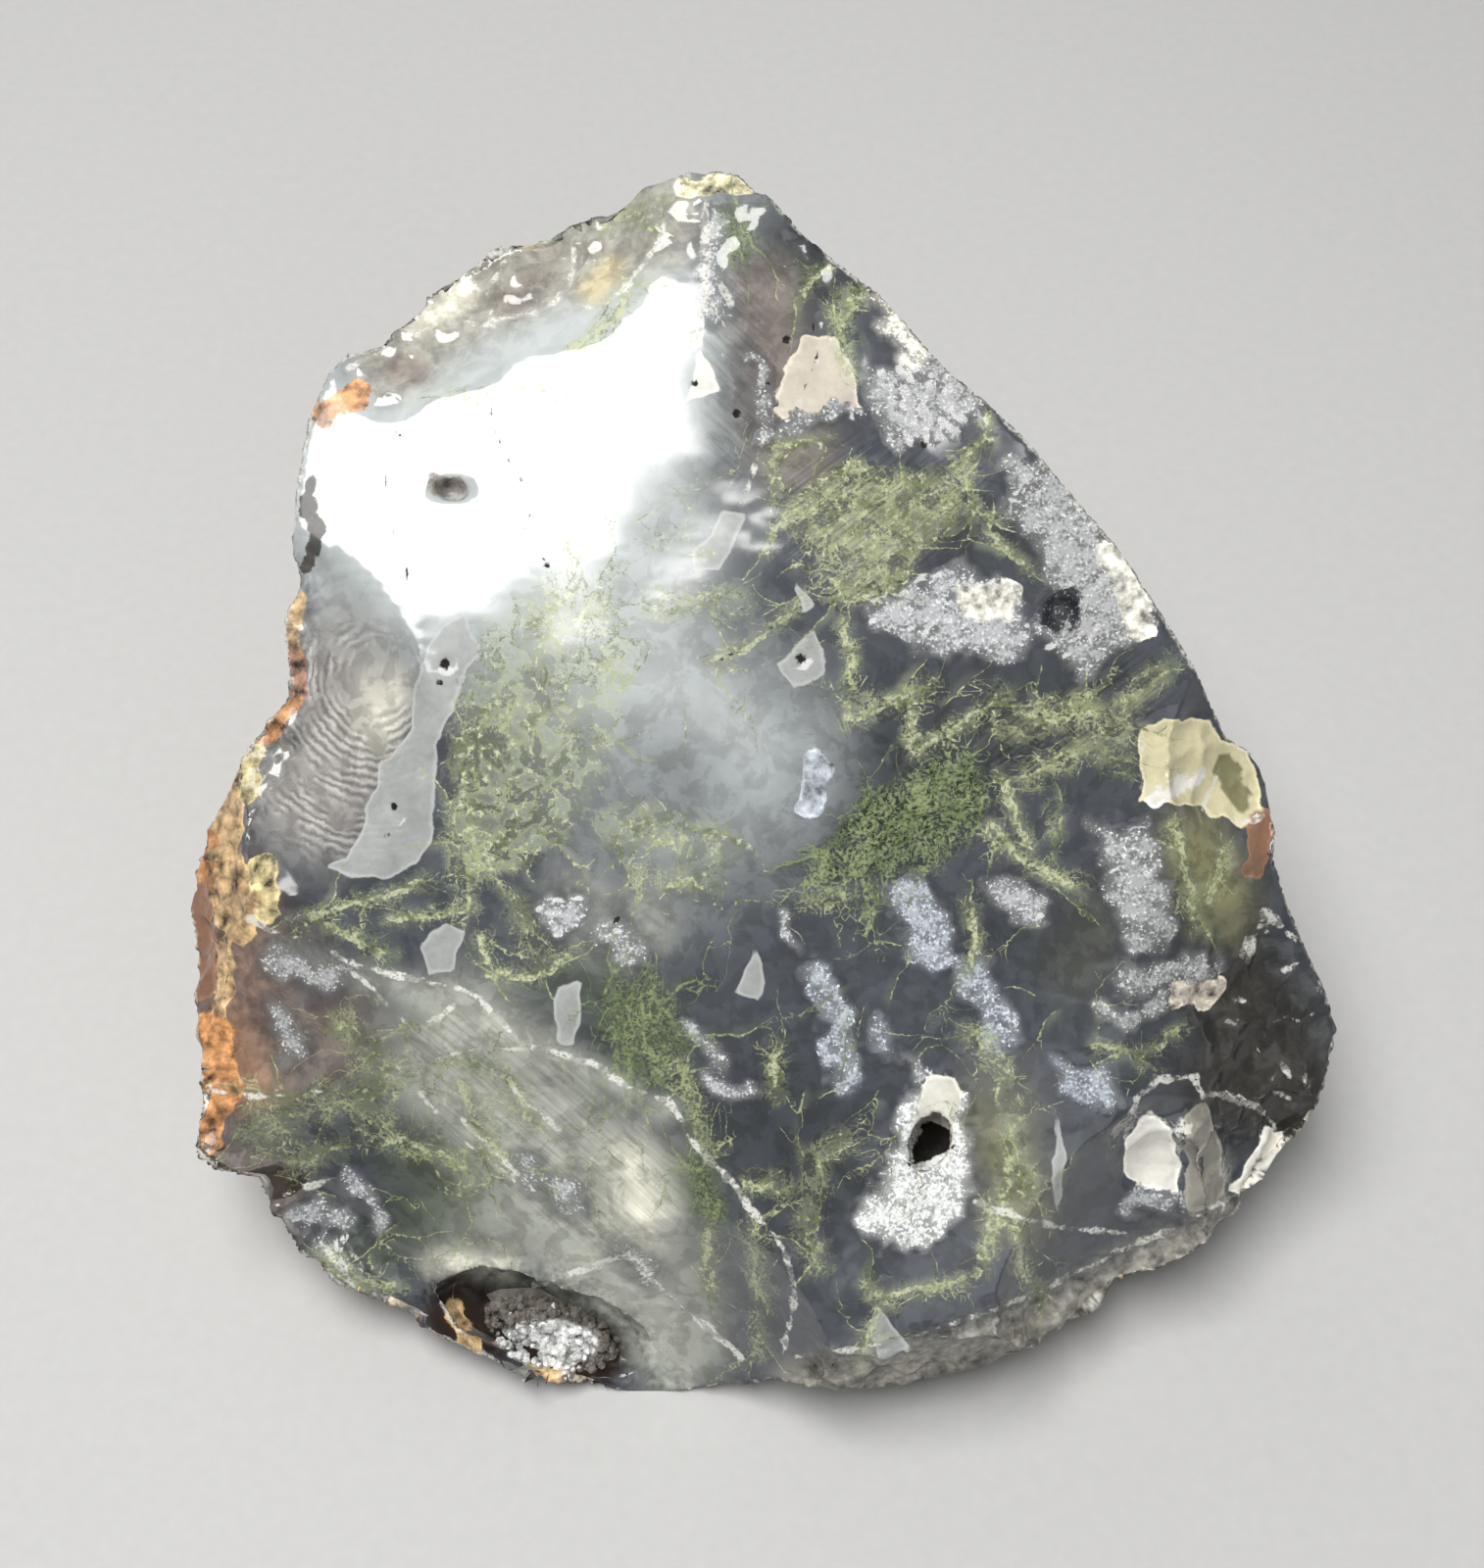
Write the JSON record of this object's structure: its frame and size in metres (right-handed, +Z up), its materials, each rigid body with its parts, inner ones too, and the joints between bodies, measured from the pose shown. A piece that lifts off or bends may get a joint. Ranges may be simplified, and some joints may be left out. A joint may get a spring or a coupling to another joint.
{
  "type": "raw tree agate",
  "caption": "Rough broken chunk of grey chalcedony with green moss-like inclusions, white druse patches, flake scars and a small crystal-lined hollow.",
  "frame": {"origin": "middle of the level break that the stone rests on", "axes": "+Z up, +X to the right of the big mossy face, -Y towards the foot of that face, which slopes up towards +Y"},
  "size_m": [0.1152, 0.1025, 0.0724],
  "materials": {
    "agate": "glossy translucent chalcedony on the fresh breaks, dull rind on one edge",
    "quartz": "sparkling white crystal points"
  },
  "bodies": {
    "root": {"agate": "agate", "quartz_crust": "quartz"}
  },
  "joints": []
}
